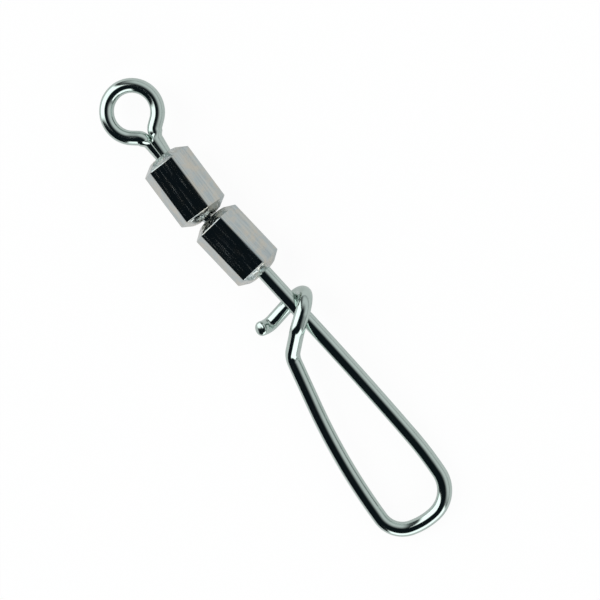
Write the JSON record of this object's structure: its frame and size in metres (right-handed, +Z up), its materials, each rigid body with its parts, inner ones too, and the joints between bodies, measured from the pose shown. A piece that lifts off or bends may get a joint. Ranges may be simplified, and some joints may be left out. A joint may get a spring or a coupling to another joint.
{
  "type": "fishing snap swivel",
  "caption": "Snap swivel for fishing line: a wire eye and a hooked wire snap turn in the ends of hexagonal barrels that a headed link joins, lying flat.",
  "frame": {"origin": "on the surface it lies on, under the middle of its bounding box", "axes": "+X along the lower barrel's axis, from the line eye to the snap; +Y to the side that the eye leans to, away from the snap's spring arm; +Z up from the surface"},
  "size_m": [0.0498, 0.0134, 0.0045],
  "materials": {
    "wire": "polished, dark nickel plated",
    "barrel": "polished, black nickel plated"
  },
  "bodies": {
    "link": {"link": "barrel"},
    "upper_barrel": {"upper_barrel": "barrel"},
    "line_eye": {"line_eye": "wire"},
    "lower_barrel": {"lower_barrel": "barrel"},
    "snap": {"snap": "wire"}
  },
  "joints": [
    {"name": "upper_barrel_turn", "type": "hinge", "parent": "link", "child": "upper_barrel", "pos_m": [-0.01164, 0.00223, 0.00225], "axis": [0.9928, -0.1201, 0], "continuous": true},
    {"name": "line_eye_turn", "type": "hinge", "parent": "upper_barrel", "child": "line_eye", "pos_m": [-0.0154, 0.00282, 0.00217], "axis": [0.9913, -0.1288, 0.0262], "continuous": true},
    {"name": "lower_barrel_turn", "type": "hinge", "parent": "link", "child": "lower_barrel", "pos_m": [-0.00824, 0.00223, 0.00225], "axis": [1, 0, 0], "continuous": true},
    {"name": "snap_turn", "type": "hinge", "parent": "lower_barrel", "child": "snap", "pos_m": [-0.00444, 0.00245, 0.00251], "axis": [0.9975, -0.0313, -0.0627], "continuous": true}
  ]
}
